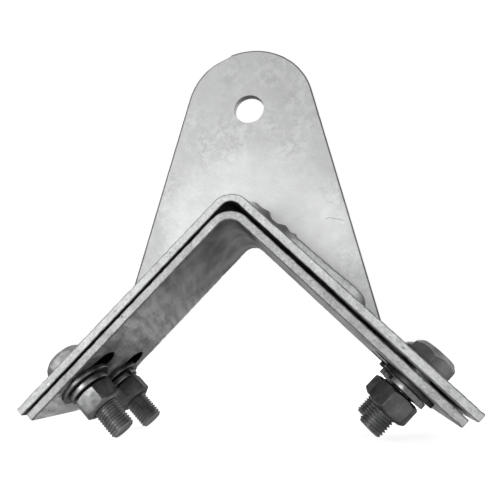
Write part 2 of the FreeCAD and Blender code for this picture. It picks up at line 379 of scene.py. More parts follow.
def section_shade(section, mating, unshaded_border):
    """Brightness round the bar's outline: painted shade on the rounded edges, and painted shade near black
    on the mating face, for the gap between the straps, further from the bar's sides than the unshaded
    border."""
    width = STRAP_HALF_WIDTH - np.abs(section[:, 0])
    depth = STRAP_THICKNESS / 2 - np.abs(section[:, 1])
    rounding = (width < ROLLED_EDGE) & (depth < ROLLED_EDGE)
    into_rounding = 4 * np.clip(ROLLED_EDGE - np.maximum(width, depth), 0, 0.25)
    shade = np.where(rounding, 1 - ROUNDED_EDGE_SHADE * into_rounding, 1.0)
    hidden = (section[:, 1] * mating > STRAP_THICKNESS / 2 - 0.2) & (width > unshaded_border)
    return np.where(hidden, MATING_SHADE, shade)


def strap(name, node, body, corner, leg, radii, seed, slots, mating, materials):
    """Bent flat bar with worn edges: every bump goes inward from its nominal face."""
    outer, inner = strap_lines(corner, leg, radii)
    last = len(outer) - 1
    turns = [math.radians(a) for a in (0, 30, 60, 90)]
    rounding = [(END_ROUNDING * (1 - math.cos(a)), END_ROUNDING * (1 - math.sin(a))) for a in turns]
    stations = [(0, back, inset) for back, inset in rounding]
    stations += [(i, 0.0, 0.0) for i in range(1, last)]
    stations += [(last, back, inset) for back, inset in reversed(rounding)]
    sections = []
    for index, back, inset in stations:
        section = bar_section(inset)
        share = (0.5 - section[:, 1] / STRAP_THICKNESS)[:, None]
        points = outer[index] * (1 - share) + inner[index] * share
        points = points + section[:, :1] * Y_AXIS
        direction = along("left" if index == 0 else "right")
        sections.append(points - direction * back)
    grid = np.array(sections)
    section = bar_section(0.0)
    middle = (outer + inner) / 2
    rows = np.array([middle[index] for index, _, _ in stations])
    inwards = rows[:, None, :] + (section[:, :1] * WEAR_AIM * Y_AXIS)[None] - grid
    lengths = np.linalg.norm(inwards, axis=2, keepdims=True)
    flat = grid.reshape(-1, 3)
    dips = FACE_DIP * (1 + smooth_noise(flat, 16.0, seed)) / 2
    rim = (np.abs(section[:, 0]) > STRAP_HALF_WIDTH - 1.5 * ROLLED_EDGE).astype(float)
    rim = np.tile(rim, (len(stations), 1)).ravel()
    chips = rim * EDGE_CHIP * np.clip(smooth_noise(flat, 2.6, seed + 3) + 0.1, 0, 1)
    dents = rim * EDGE_DENT * np.clip(smooth_noise(flat, 9.0, seed + 5) - 0.2, 0, 1)
    depth = (dips + chips + dents).reshape(grid.shape[:2] + (1,))
    grid = grid + inwards / np.maximum(lengths, 1e-6) * depth
    piece = grid_piece(name, grid, cap_ends=True)
    down_right = (rows - corner) @ along("right") / leg
    widened = np.clip((down_right - UNSHADED_FROM) / (1 - UNSHADED_FROM), 0.0, 1.0)
    unshaded_borders = 0.5 * ROLLED_EDGE + MATING_UNSHADED * widened
    store(piece, "shade", np.concatenate([section_shade(section, mating, unshaded_border) for unshaded_border in unshaded_borders]))
    cut(piece, [hole_cutter(side, row, slots) for side in ("left", "right") for row in ROWS])
    finish_piece(piece, body, [node], materials)


def hole_cutter(side, row, slotted):
    """Closed mesh that cuts a round hole, or a slot that is long towards the bend."""
    near, far = SLOT if slotted else (0.0, 0.0)
    outline = []
    for centre, start in ((far, -90), (near, 90)):
        for step in range(HOLE_STEPS + 1):
            a = math.radians(start + 180 * step / HOLE_STEPS)
            outline.append((centre + HOLE_RADIUS * math.cos(a), HOLE_RADIUS * math.sin(a)))
    middle = CORNER + along(side) * BOLT_ALONG_LEG + Y_AXIS * row
    rows = []
    for depth in CUTTER_DEPTHS:
        rows.append([middle + along(side) * x + Y_AXIS * y + inward(side) * depth for x, y in outline])
    cutter = grid_piece("cutter", np.array(rows), cap_ends=True)
    bpy.context.view_layer.update()
    if signed_volume(cutter.data) < 0:
        cutter.data.flip_normals()
    return cutter


# Lug plate


def square_to_rim(angle):
    """Cosine between a direction of the XZ plane and the way that the plate's rim faces there."""
    lean = angle + LUG_LEAN
    if math.sin(lean) >= math.sin(LUG_FLARE):
        return 1.0
    return abs(math.cos(lean)) * math.cos(LUG_FLARE) + math.sin(lean) * math.sin(LUG_FLARE)


def lug_radius(angle):
    """Distance from the hole's centre to the plate's outline in a direction of the XZ plane."""
    direction = np.array([math.cos(angle), 0.0, math.sin(angle)])
    square = square_to_rim(angle)
    reach = LUG_EYE_RADIUS / square if square > 0 else math.inf
    for side in ("left", "right"):
        out = -inward(side)
        facing = direction @ out
        height = CORNER @ out
        if facing < 0:
            point = direction * (height / facing)
            below_bend = (point - CORNER) @ along(side)
            if below_bend > 0:
                reach = min(reach, height / facing)
    return reach


def lug(materials):
    """Round-topped plate with rounded edges, a hammered spot on its left shoulder and its hole."""
    apex_angle = math.atan2(CORNER[2], CORNER[0])
    evenly = np.linspace(0, 2 * math.pi, LUG_DIRECTIONS + 1)[:-1]
    angles = np.sort(np.append(evenly, apex_angle % (2 * math.pi)))
    columns, reach, from_hole = [], [], []
    for angle in angles:
        radius = lug_radius(angle)
        away = np.array([math.cos(angle), 0.0, math.sin(angle)])
        rim = np.array([away * radius])
        dent = RIM_WAVE * (1 + smooth_noise(rim, 7.0, 3)[0]) / 2
        dent += RIM_NICK * max(0.0, smooth_noise(rim, 3.0, 8)[0])
        edge = LUG_EDGE
        turned = (angle - SHOULDER[0]) / (SHOULDER[1] - SHOULDER[0])
        if 0 <= turned <= 1:
            edge = SHOULDER_EDGES[0] + (SHOULDER_EDGES[1] - SHOULDER_EDGES[0]) * turned
            dent += SHOULDER_DENT * (1 - turned) ** 1.5 * min(1.0, turned / SHOULDER_ONSET)
        square = square_to_rim(angle)
        on_strap = radius * square < LUG_EYE_RADIUS - 0.01
        outer = radius - (0.0 if on_strap else dent)
        t = LUG_HALF_THICKNESS
        profile = [(LUG_HOLE_RADIUS, -t + HOLE_EDGE)]
        profile += rounded_corner((LUG_HOLE_RADIUS, -t), (1, 1), HOLE_EDGE)
        inside = LUG_HOLE_RADIUS + HOLE_EDGE
        rings = np.linspace(inside, outer - edge, LUG_RINGS + 2)[1:-1]
        spread = np.append(rings, outer - edge - LAST_RING)
        profile += [(r, -t) for r in spread]
        profile += rounded_corner((outer, -t), (-1, 1), edge)[::-1]
        profile += rounded_corner((outer, t), (-1, -1), min(edge, LUG_EDGE))
        profile += [(r, t) for r in spread[::-1]]
        profile += rounded_corner((LUG_HOLE_RADIUS, t), (1, -1), HOLE_EDGE)[::-1]
        columns.append([away * r + Y_AXIS * y for r, y in profile])
        reach += [outer if on_strap else (outer - r) * square for r, _ in profile]
        from_hole += [r - LUG_HOLE_RADIUS for r, _ in profile]
    grid = np.array(columns)
    flat = grid.reshape(-1, 3)
    face = np.sign(flat[:, 1]) * (np.abs(flat[:, 1]) > LUG_HALF_THICKNESS - 0.01)
    flat[:, 1] -= face * LUG_DIP * (1 + smooth_noise(flat, 14.0, 21)) / 2
    piece = grid_piece("lug", flat.reshape(grid.shape), wrap_rows=True)
    store(piece, "from_rim", reach)
    store(piece, "from_hole", from_hole)
    finish_piece(piece, "clamp_body", ["lug_plate"], materials)


def rounded_corner(corner, inside, radius, steps=4):
    """Points of a quarter circle in a corner, from the first axis's side to the second one's."""
    x, y = inside[0] * radius, inside[1] * radius
    centre = (corner[0] + x, corner[1] + y)
    turns = [math.radians(90 * step / steps) for step in range(steps + 1)]
    return [(centre[0] - x * math.cos(a), centre[1] - y * math.sin(a)) for a in turns]


# Welds


def weld_path():
    """Stations of the bead: point on the outer face, its outward direction and its place along it."""
    stations = []
    radius = OUTER_BEND[0]
    leg = np.arange(WELD_END, radius, -WELD_STEP)
    for s in leg:
        stations.append((CORNER + along("left") * s, -inward("left"), -s))
    arc = bend_points(CORNER, radius, WELD_ARC_STEPS)
    centre = CORNER - np.array([0.0, 0.0, radius / SIN45])
    for i, point in enumerate(arc):
        stations.append((point, (point - centre) / radius, -radius + 2 * radius * i / WELD_ARC_STEPS))
    for s in leg[::-1]:
        stations.append((CORNER + along("right") * s, -inward("right"), s))
    return stations


def weld(name, node, facing, seed, lumps, materials):
    """Fillet bead with ripples, uneven toes and lumps, tapered at both ends."""
    shares = [step / WELD_SECTION_STEPS for step in range(WELD_SECTION_STEPS + 1)]
    rows, toe, dark_and_end_shade = [], [], []
    for point, out, place in weld_path():
        here = np.array([[place, seed * 50.0, 0.0]])
        sway = smooth_noise(here, 13.0, seed)[0]
        fine = smooth_noise(here, 4.0, seed + 1)[0]
        crescent = abs(((place + RIPPLE_SWAY * sway) / RIPPLE_PITCH) % 1.0 - 0.5) * 2
        height = WELD_HEIGHT + HEIGHT_SWAY * sway + HEIGHT_ROUGH * fine
        width = WELD_WIDTH + WIDTH_SWAY * smooth_noise(here, 9.0, seed + 2)[0]
        bulge = WELD_BULGE + BULGE_ROUGH * fine - RIPPLE_DEPTH * crescent ** 2
        for at, rise, half in lumps:
            shape = math.exp(-(((place - at) / half) ** 2))
            height += rise * shape
            bulge += LUMP_BULGE * rise * shape
        to_end = WELD_END - abs(place)
        taper = math.sqrt(max(0.0, 1 - max(0.0, 1 - to_end / WELD_TAPER) ** 2))
        height, width, bulge = (max(value * taper, WELD_THINNEST) for value in (height, width, bulge))
        section = []
        for share in shares:
            swell = bulge * math.sin(math.pi * share) ** 0.8 * SIN45
            section.append((height * (1 - share) + swell, width * share + swell))
        section += [(-WELD_SUNK, width), (-WELD_SUNK, -WELD_SUNK), (height, -WELD_SUNK)]
        off_lug = Y_AXIS * facing
        rows.append([point + out * up + off_lug * (LUG_HALF_THICKNESS + off) for up, off in section])
        toe += shares + [1.0, 0.5, 0.0]
        # Dark round a place near the bend, and painted shade towards each end
        dark = math.exp(-(((place - DARK_PLACE) / DARK_HALF) ** 4))
        dark_and_end_shade += [max(dark, min(1.0, 1.4 - to_end / WELD_DARK_END))] * len(section)
    piece = grid_piece(name, np.array(rows), cap_ends=True)
    store(piece, "toe", toe)
    store(piece, "dark_and_end_shade", dark_and_end_shade)
    finish_piece(piece, "clamp_body", [node], materials, 60.0)


# Fasteners


class Seat:
    """Where a corner's bolt stands: its axis, the direction down its leg and a point of the axis."""

    def __init__(self, corner):
        joint = next(j for j in frame["joints"] if j["name"] == "nut_turn_" + corner)
        self.side = corner.split("_")[0]
        self.z = np.array(joint["axis"], float)
        self.x = along(self.side)
        self.y = np.cross(self.z, self.x)
        self.origin = np.array(joint["pos_m"], float) / MM

    def measure(self, node):
        """Axial places, distances and angles of a CAD node's points about this axis."""
        points = np.array([v.co for v in frame["nodes"][node].data.vertices]) / MM - self.origin
        x, y = points @ self.x, points @ self.y
        return points @ self.z, np.hypot(x, y), np.arctan2(y, x)

    def place(self, local):
        """Points from the seat's own x, y, z to the frame."""
        local = np.asarray(local, float)
        return self.origin + local[..., :1] * self.x + local[..., 1:2] * self.y + local[..., 2:] * self.z


def hexagon(corner_radius, phase, fillet=0.5, steps=4, across=9):
    """Outline of a hexagon with slightly rounded corners, as (radius, angle) pairs."""
    centre = corner_radius - fillet / math.cos(math.radians(30))

    def rounding(corner, turn):
        middle = phase + math.radians(60 * corner)
        a = middle + math.radians(turn)
        return np.array([
            centre * math.cos(middle) + fillet * math.cos(a),
            centre * math.sin(middle) + fillet * math.sin(a)])

    points = []
    for corner in range(6):
        points += [rounding(corner, -30 + 60 * step / steps) for step in range(steps + 1)]
        start, end = points[-1], rounding(corner + 1, -30)
        points += [start + (end - start) * step / across for step in range(1, across)]
    return [(math.hypot(x, y), math.atan2(y, x)) for x, y in points]


def soften(profile, radius, steps=3):
    """A closed profile of (radius, height) with rounded corners, each made of steps + 1 points."""
    points = [np.array(p, float) for p in profile]
    made = []
    for i, corner in enumerate(points):
        before, after = points[i - 1], points[(i + 1) % len(points)]
        to_before = (before - corner) / np.linalg.norm(before - corner)
        to_after = (after - corner) / np.linalg.norm(after - corner)
        room = min(np.linalg.norm(before - corner), np.linalg.norm(after - corner)) * 0.45
        back = min(radius, room)
        start, end = corner + to_before * back, corner + to_after * back
        for step in range(steps + 1):
            t = step / steps
            made.append(start * (1 - t) ** 2 + corner * 2 * t * (1 - t) + end * t ** 2)
    return made


def revolve(name, seat, columns, profile_at, turned=0):
    """A ring through one profile per column, where a column is (outline radius, angle).

    The first points of every profile, as many as turned, are marked as the hexagon's turned end.
    """
    rows = []
    for radius, angle in columns:
        rows.append([(r * math.cos(angle), r * math.sin(angle), z) for r, z in profile_at(radius)])
    grid = seat.place(np.array(rows))
    piece = grid_piece(name, grid, wrap_rows=True)
    store(piece, "turned", [float(j < turned) for _ in grid for j in range(grid.shape[1])])
    return piece


def turned_end(height, distance):
    """How far a hexagon's lower end falls away at a distance from its axis, and the radius of its flat."""
    low, corner_radius = height.min(), distance.max()
    face = distance[height < low + 0.01].max()
    corner_drop = height[distance > corner_radius - 0.01].min() - low
    return lambda radius: max(0.0, radius - face) * corner_drop / (corner_radius - face), face


def nut(corner, materials):
    """Hexagon nut with turned corners and a chamfered bore."""
    seat = Seat(corner)
    height, distance, angle = seat.measure("nut_" + corner)
    low, high = height.min(), height.max()
    corner_radius = distance.max()
    phase = angle[distance.argmax()]
    bore = distance.min()
    fall, face = turned_end(height, distance)
    face = min(face, NUT_FACE)
    mouth = bore + BORE_CHAMFER

    def profile(radius):
        drop = fall(radius)
        worn = (radius - face) * NUT_WEAR
        return soften([
            (face, low), (radius, low + drop), (radius, high - worn), (face, high), (mouth, high),
            (bore, high - BORE_CHAMFER), (bore, low + BORE_CHAMFER), (mouth, low)], NUT_ROUNDING)

    piece = revolve(corner + "_nut", seat, hexagon(corner_radius - HEX_PLAY, phase), profile)
    finish_piece(piece, "nut_body_" + corner, ["nut_" + corner], materials)


def flat_washer(corner, materials):
    """Flat ring with rounded rims."""
    seat = Seat(corner)
    height, distance, _ = seat.measure("flat_washer_" + corner)
    low, high = height.min(), height.max()
    inside, outside = distance.min(), distance.max()
    columns = [(outside, math.radians(360 * i / WASHER_COLUMNS)) for i in range(WASHER_COLUMNS)]

    def profile(radius):
        return soften([(inside, low), (radius, low), (radius, high), (inside, high)], WASHER_ROUNDING)

    piece = revolve(corner + "_flat_washer", seat, columns, profile)
    finish_piece(piece, "washers_" + corner, ["flat_washer_" + corner], materials)


def spring_washer(corner, materials):
    """Split ring that rises along a left-hand helix, with its split where the CAD node has it."""
    seat = Seat(corner)
    height, distance, angle = seat.measure("spring_washer_" + corner)
    low, high = height.min(), height.max()
    inside, outside = distance.min(), distance.max()
    order = np.sort(angle % (2 * math.pi))
    gaps = np.diff(np.append(order, order[0] + 2 * math.pi))
    widest = int(gaps.argmax())
    split_from, split_to = order[widest], order[widest] + gaps[widest]
    turns = 2 * math.pi - (split_to - split_from)
    outline = [(inside, 0.0), (outside, 0.0), (outside, SPRING_THICKNESS), (inside, SPRING_THICKNESS)]
    section = soften(outline, WASHER_ROUNDING)
    rows = []
    for step in range(SPRING_STEPS + 1):
        share = step / SPRING_STEPS
        a = split_from - turns * share
        rise = low + (high - low - SPRING_THICKNESS) * share
        rows.append([(r * math.cos(a), r * math.sin(a), rise + z) for r, z in section])
    piece = grid_piece(corner + "_spring_washer", seat.place(np.array(rows)), cap_ends=True)
    finish_piece(piece, "washers_" + corner, ["spring_washer_" + corner], materials)


def bolt(corner, materials):
    """Hexagon head and a shank whose last part carries a real helical thread."""
    seat = Seat(corner)
    height, distance, angle = seat.measure("bolt_" + corner)
    low, high = height.min(), height.max()
    corner_radius = distance.max()
    phase = angle[distance.argmax()]
    under_head = height[distance > 0.8 * corner_radius].max()
    radius = distance[height > under_head + 1].max()
    fall, face = turned_end(height, distance)

    def head_profile(reach):
        return soften([
            (HEAD_MIDDLE, low), (face, low), (reach, low + fall(reach)),
            (reach, under_head), (HEAD_MIDDLE, under_head)], HEAD_ROUNDING)

    outline = hexagon(corner_radius - HEX_PLAY, phase)
    head = revolve(corner + "_bolt", seat, outline, head_profile, turned=HEAD_TURNED_POINTS)
    shank_start = under_head + SHANK_START
    thread_start = under_head + THREAD_START
    heights = [shank_start] + list(np.arange(thread_start, high - 1e-6, PITCH / THREAD_ROWS)) + [high]
    grid = []
    for z in heights:
        row = []
        for j in range(THREAD_COLUMNS):
            a = 2 * math.pi * j / THREAD_COLUMNS
            phase_in_pitch = ((z - PITCH * j / THREAD_COLUMNS) / PITCH) % 1.0
            wave = abs(phase_in_pitch - 0.5) * 2
            profile = min(1.0, max(0.0, (wave - THREAD_CREST) / THREAD_FLANK))
            depth = THREAD_DEPTH * profile * min(1.0, (z - shank_start) / (thread_start - shank_start))
            r = min(radius - depth, radius - TIP_CHAMFER + (high - z) * TIP_SLOPE)
            row.append((r * math.cos(a), r * math.sin(a), z))
        grid.append(row)
    shank = grid_piece(corner + "_shank", seat.place(np.array(grid)), cap_ends=True)
    for mesh in (head.data, shank.data):
        if signed_volume(mesh) < 0:
            mesh.flip_normals()
        for material in materials:
            mesh.materials.append(material)
    for polygon in shank.data.polygons:
        polygon.material_index = 1
    piece = join_pieces(corner + "_bolt", [head, shank])
    finish_piece(piece, "clamp_body", ["bolt_" + corner], [])


# Materials


class Nodes:
    """Short ways to add nodes to a material's or the world's tree."""

    def __init__(self, owner):
        owner.use_nodes = True
        self.tree = owner.node_tree
        self.shader = self.tree.nodes.get("Principled BSDF")
        if self.shader:
            self.place = self.add("ShaderNodeTexCoord").outputs["Object"]

    def add(self, kind, **settings):
        node = self.tree.nodes.new(kind)
        for key, value in settings.items():
            setattr(node, key, value)
        return node

    def link(self, output, target):
        self.tree.links.new(output, target)

    def axis(self, name):
        node = self.add("ShaderNodeSeparateXYZ")
        self.link(self.place, node.inputs[0])
        return node.outputs[name]

    def attribute(self, name):
        return self.add("ShaderNodeAttribute", attribute_name=name).outputs["Fac"]

    def noise(self, scale, detail=4.0, roughness=0.55, distortion=0.0, place=None):
        node = self.add("ShaderNodeTexNoise")
        node.inputs["Scale"].default_value = scale
        node.inputs["Detail"].default_value = detail
        node.inputs["Roughness"].default_value = roughness
        node.inputs["Distortion"].default_value = distortion
        self.link(place or self.place, node.inputs["Vector"])
        return node.outputs["Fac"]

    def distance(self, point, place=None):
        node = self.add("ShaderNodeVectorMath", operation="DISTANCE")
        self.link(place or self.place, node.inputs[0])
        node.inputs[1].default_value = point
        return node.outputs["Value"]

    def dot(self, direction, place=None):
        node = self.add("ShaderNodeVectorMath", operation="DOT_PRODUCT")
        self.link(place or self.place, node.inputs[0])
        node.inputs[1].default_value = direction
        return node.outputs["Value"]

    def folded(self, rows=False):
        """The place with one leg laid over the other, and with rows also the back over the front."""
        joined = self.add("ShaderNodeCombineXYZ")
        self.link(self.absolute(self.math("SUBTRACT", self.axis("X"), CORNER[0] * MM)), joined.inputs[0])
        depth = self.axis("Y")
        self.link(self.absolute(depth) if rows else depth, joined.inputs[1])
        self.link(self.axis("Z"), joined.inputs[2])
        return joined.outputs[0]

    def streaks(self):
        """Noise drawn out along the streaks' course."""
        place = self.folded()
        joined = self.add("ShaderNodeCombineXYZ")
        self.link(self.math("DIVIDE", self.dot(STREAK_COURSE, place), STREAK_LENGTH), joined.inputs[0])
        self.link(self.dot(STREAK_ACROSS, place), joined.inputs[1])
        return self.noise(STREAK_SCALE, roughness=0.5, place=joined.outputs[0])

    def spots(self, scale, low, high):
        """1 in the middle of scattered spots, 0 between them."""
        node = self.add("ShaderNodeTexVoronoi")
        node.inputs["Scale"].default_value = scale
        self.link(self.place, node.inputs["Vector"])
        return self.ramp(node.outputs["Distance"], low, high, 1.0, 0.0)

    def ramp(self, value, low, high, at_low, at_high):
        """Smooth change from one number to another, with the value held at both ends."""
        node = self.add("ShaderNodeMapRange", interpolation_type="SMOOTHSTEP")
        self.link(value, node.inputs["Value"])
        for key, number in zip(("From Min", "From Max", "To Min", "To Max"), (low, high, at_low, at_high)):
            node.inputs[key].default_value = number
        return node.outputs["Result"]

    def math(self, operation, a, b):
        node = self.add("ShaderNodeMath", operation=operation)
        for socket, value in zip(node.inputs, (a, b)):
            if isinstance(value, (int, float)):
                socket.default_value = value
            else:
                self.link(value, socket)
        return node.outputs[0]

    def absolute(self, value):
        return self.math("ABSOLUTE", value, 0.0)

    def product(self, *values):
        result = values[0]
        for value in values[1:]:
            result = self.math("MULTIPLY", result, value)
        return result

    def grey(self, value):
        """Colour from a brightness, with zinc's faint blue cast."""
        node = self.add("ShaderNodeCombineColor")
        for key, share in (("Red", 0.995), ("Green", 1.0), ("Blue", 1.005)):
            self.link(self.math("MULTIPLY", value, share), node.inputs[key])
        return node.outputs["Color"]

    def bump(self, height, distance, strength=1.0, under=None):
        node = self.add("ShaderNodeBump")
        node.inputs["Strength"].default_value = strength
        node.inputs["Distance"].default_value = distance
        self.link(height, node.inputs["Height"])
        if under is not None:
            self.link(under, node.inputs["Normal"])
        return node.outputs["Normal"]


def off_middle(n, start, end, at_start):
    """Shade by depth: at_start nearer the middle plane than start, 1 beyond end, in metres."""
    return n.ramp(n.absolute(n.axis("Y")), start, end, at_start, 1.0)


def wide_faces(n):
    """1 on a strap's wide faces, 0 on its edges."""
    return n.ramp(n.absolute(n.axis("Y")), *WIDE_FACE, 1.0, 0.0)


def outer_strap_shade(n):
    """Painted shade of the outer strap on its rounded edges and mating face, as section_shade stored it."""
    return n.attribute("shade")


def seat_painted_shade(n):
    """Painted shade round the washers and up their slots."""
    folded = n.folded(rows=True)
    ragged = n.ramp(n.noise(110.0), 0.3, 0.7, -0.005, 0.005)

    def away(down_leg):
        centre = (CORNER + along("right") * down_leg) * MM
        point = (centre[0] - CORNER[0] * MM, ROWS[1] * MM, centre[2])
        return n.math("ADD", n.distance(point, folded), ragged)

    round_slot = n.ramp(away(BOLT_ALONG_LEG - SHADE_UP_LEG), 0.014, 0.042, 0.22, 1.0)
    round_washer = n.ramp(away(BOLT_ALONG_LEG), 0.019, 0.025, 0.35, 1.0)
    return n.product(round_slot, round_washer)


def inner_strap_shade(n):
    """Painted light and shade of the inner strap's wide faces: darkest in the bend, lightest near the left
    end, darker on the right leg and round the bolts, times the painted shade of its edges and mating face.
    """
    # Painted shade in the bend, painted light at the left end and painted shade on the right leg
    near_bend = n.ramp(n.axis("Z"), *DARK_BEND, 1.0, 0.0)
    near_end = n.ramp(n.axis("Z"), *LIGHT_END, 2.0, 0.0)
    near_end = n.product(near_end, n.ramp(n.axis("X"), *LEG_CHANGE, 1.0, 0.0))
    near_end = n.math("ADD", near_end, n.ramp(n.axis("X"), *LEG_CHANGE, 1.0, 0.4))
    shade = n.product(near_bend, near_end, seat_painted_shade(n))
    faces = n.math("ADD", 1.0, n.product(wide_faces(n), n.math("SUBTRACT", shade, 1.0)))
    return n.product(faces, n.attribute("shade"))


def scratch(n, start, end):
    """1 on a straight scratch in the XZ plane, fading to 0 beside it and at its ends."""
    start, end = np.array(start) * MM, np.array(end) * MM
    length = float(np.linalg.norm(end - start))
    course = (end - start) / length
    middle = (start + end) / 2

    def offset(direction):
        reach = n.dot((direction[0], 0.0, direction[1]))
        return n.absolute(n.math("SUBTRACT", reach, float(direction @ middle)))

    half_width = SCRATCH_HALF_WIDTH * MM
    beside = n.ramp(offset(np.array([-course[1], course[0]])), 0.4 * half_width, half_width, 1.0, 0.0)
    beyond = n.ramp(offset(course), 0.35 * length, 0.5 * length, 1.0, 0.0)
    return n.product(beside, beyond)


def lug_painted_light_and_marks(n):
    """Painted light and shade on the lug, times its flakes and scratch: painted light round the bend,
    painted shade at the top, top right and lower left, painted light low on the right and beside the right
    strap, and painted shade on the hole wall, along the rim and on the outer wall, partly the cut edge's own
    tone.
    """
    away = n.distance((-0.002, 0.0, -0.10))
    # Painted light round the bend, over the zone where the zinc is smooth
    light = n.ramp(away, 0.054, 0.078, 1.2, 1.01)
    # Painted shade towards the top, the top right and the lower left, and painted light low on the right
    top = n.ramp(n.axis("Z"), -0.05, 0.03, 1.0, 0.93)
    top_right = n.ramp(n.math("ADD", n.axis("X"), n.axis("Z")), 0.0, 0.04, 1.0, 0.95)
    low_right = n.ramp(n.math("SUBTRACT", n.axis("X"), n.axis("Z")), 0.09, 0.16, 1.0, 1.12)
    low_left = n.ramp(n.math("ADD", n.axis("X"), n.axis("Z")), -0.19, -0.11, 0.84, 1.0)
    # Painted shade on the hole wall
    beyond_hole = n.ramp(n.attribute("from_hole"), 0.3, 0.6, 0.2, 1.0)
    hole_wall = n.math("MAXIMUM", beyond_hole, off_middle(n, 0.0021, 0.00285, 0.2))
    # Painted shade as a dark line along the rim, and on the outer wall partly painted shade, partly the cut
    # edge's own darker tone
    outline = n.ramp(n.attribute("from_rim"), 0.7, 1.5, 0.12, 1.0)
    outer_wall = n.ramp(n.absolute(n.axis("Y")), 0.0018, 0.0023, 0.62, 0.0)
    rim = n.math("MAXIMUM", outline, outer_wall)
    flakes = n.ramp(n.noise(210.0, 8.0, 0.72, 0.3), 0.40, 0.60, -0.11, 0.11)
    flaky = n.ramp(away, 0.054, 0.068, 0.0, 1.0)
    flaky = n.product(flaky, n.ramp(n.noise(26.0, 3.0), 0.44, 0.60, 0.25, 1.0))
    flakes = n.math("ADD", 1.0, n.product(flakes, flaky))
    # Painted light beside the right strap, lifting the shadow it casts on the lug
    strap_face = float(CORNER @ -inward("right")) * MM
    beside_strap = n.ramp(n.dot((SIN45, 0.0, SIN45)), strap_face, strap_face + 0.018, 0.2, 0.0)
    lift = n.math("ADD", 1.0, n.product(beside_strap, n.ramp(n.axis("X"), 0.01, 0.04, 0.0, 1.0)))
    marks = n.math("MAXIMUM", scratch(n, *SCRATCH), scratch(n, *SCRATCH_HOOK))
    marks = n.math("SUBTRACT", 1.0, n.product(marks, 0.5))
    return n.product(marks, light, top, top_right, low_right, low_left, lift, hole_wall, rim, flakes)


def zinc(name, brightness, place_shade, contrast=1.0, grain_depth=0.06, streaks=0.0, speckle=0.0,
         pitting=0.35, waviness=0.0009):
    """Dull galvanised steel: clouds, drain streaks, pits and fine grain, times a shade for each place."""
    material = bpy.data.materials.new(name)
    n = Nodes(material)
    clouds = n.ramp(n.noise(24.0, 5.0, 0.6, 0.6), 0.32, 0.68, -0.09, 0.07)
    patches = n.ramp(n.noise(85.0, 6.0, 0.62, 0.4), 0.35, 0.68, -0.07, 0.06)
    grain = n.ramp(n.noise(650.0, 3.0, 0.65), 0.3, 0.7, -grain_depth, grain_depth)
    shade = n.math("ADD", n.math("ADD", clouds, patches), grain)
    if streaks:
        lines = n.ramp(n.streaks(), 0.38, 0.62, -streaks, streaks)
        left_leg = n.ramp(n.axis("X"), -0.034, -0.014, 1.0, 0.0)
        shade = n.math("ADD", shade, n.product(lines, wide_faces(n), left_leg))
    value = n.product(n.math("ADD", n.product(shade, contrast), 1.0), brightness)
    pits = n.product(n.spots(170.0, 0.05, 0.17), n.ramp(n.noise(30.0, 2.0), 0.5, 0.62, 0.0, 1.0))
    value = n.product(value, n.math("SUBTRACT", 1.0, n.product(pits, pitting)))
    if speckle:
        mottle = n.ramp(n.noise(210.0, 4.0, 0.6), 0.3, 0.7, -0.25 * speckle, 0.18 * speckle)
        value = n.math("ADD", value, mottle)
        where = n.ramp(n.noise(90.0, 3.0), 0.42, 0.62, 0.2, 1.0)
        bright = n.ramp(n.noise(620.0, 3.0, 0.6), 0.58, 0.70, 0.0, speckle)
        dark = n.ramp(n.noise(540.0, 3.0, 0.6, 0.6), 0.30, 0.42, -1.2 * speckle, 0.0)
        value = n.math("ADD", value, n.product(n.math("ADD", bright, dark), where))
    n.link(n.grey(n.product(value, place_shade(n))), n.shader.inputs["Base Color"])
    n.shader.inputs["Metallic"].default_value = ZINC_METALLIC
    n.shader.inputs["Specular IOR Level"].default_value = ZINC_GLOSS
    n.link(n.ramp(n.noise(48.0), 0.3, 0.7, *ZINC_ROUGHNESS), n.shader.inputs["Roughness"])
    coarse = n.bump(n.noise(95.0, 4.0, 0.55), waviness, 0.5)
    fine = n.bump(n.noise(700.0, 3.0, 0.6), 0.00018, 0.5, coarse)
    n.link(fine, n.shader.inputs["Normal"])
    return material


def weld_zinc():
    """Bead under zinc: dark round a place near the bend and, as painted shade, towards its ends, with a
    painted highlight along its upper toe wherever it is dark; elsewhere light, with painted shade along its
    upper toe.
    """
    material = bpy.data.materials.new("weld_zinc")
    n = Nodes(material)
    toe = n.attribute("toe")
    # Painted highlight along the upper toe where the bead is dark, and painted shade along the upper toe
    # elsewhere
    lip = n.ramp(toe, 0.08, 0.2, 8.0, 0.6)
    groove = n.ramp(toe, 0.15, 0.4, 1.0, 1.7)
    toe_line = n.ramp(toe, 0.2, 0.4, 0.34, 1.0)
    clouds = n.ramp(n.noise(220.0, 5.0, 0.6), 0.3, 0.7, 0.75, 1.15)
    mix = n.add("ShaderNodeMix", data_type="FLOAT")
    n.link(n.attribute("dark_and_end_shade"), mix.inputs[0])
    n.link(n.product(clouds, toe_line, 0.95), mix.inputs[2])
    n.link(n.product(clouds, lip, groove, 0.11), mix.inputs[3])
    n.link(n.grey(mix.outputs[0]), n.shader.inputs["Base Color"])
    n.shader.inputs["Metallic"].default_value = 0.15
    n.link(n.ramp(n.noise(260.0), 0.3, 0.7, 0.38, 0.6), n.shader.inputs["Roughness"])
    n.link(n.bump(n.noise(520.0), 0.0004, 0.6), n.shader.inputs["Normal"])
    return material


def down_leg_shade(side, start, end, at_start, at_end):
    """Painted light and shade that changes down a leg, from one distance in millimetres from the bend to
    another.
    """
    def shade(n):
        direction = along(side)
        zero = float(CORNER @ direction)
        return n.ramp(n.dot(direction), (zero + start) * MM, (zero + end) * MM, at_start, at_end)
    return shade


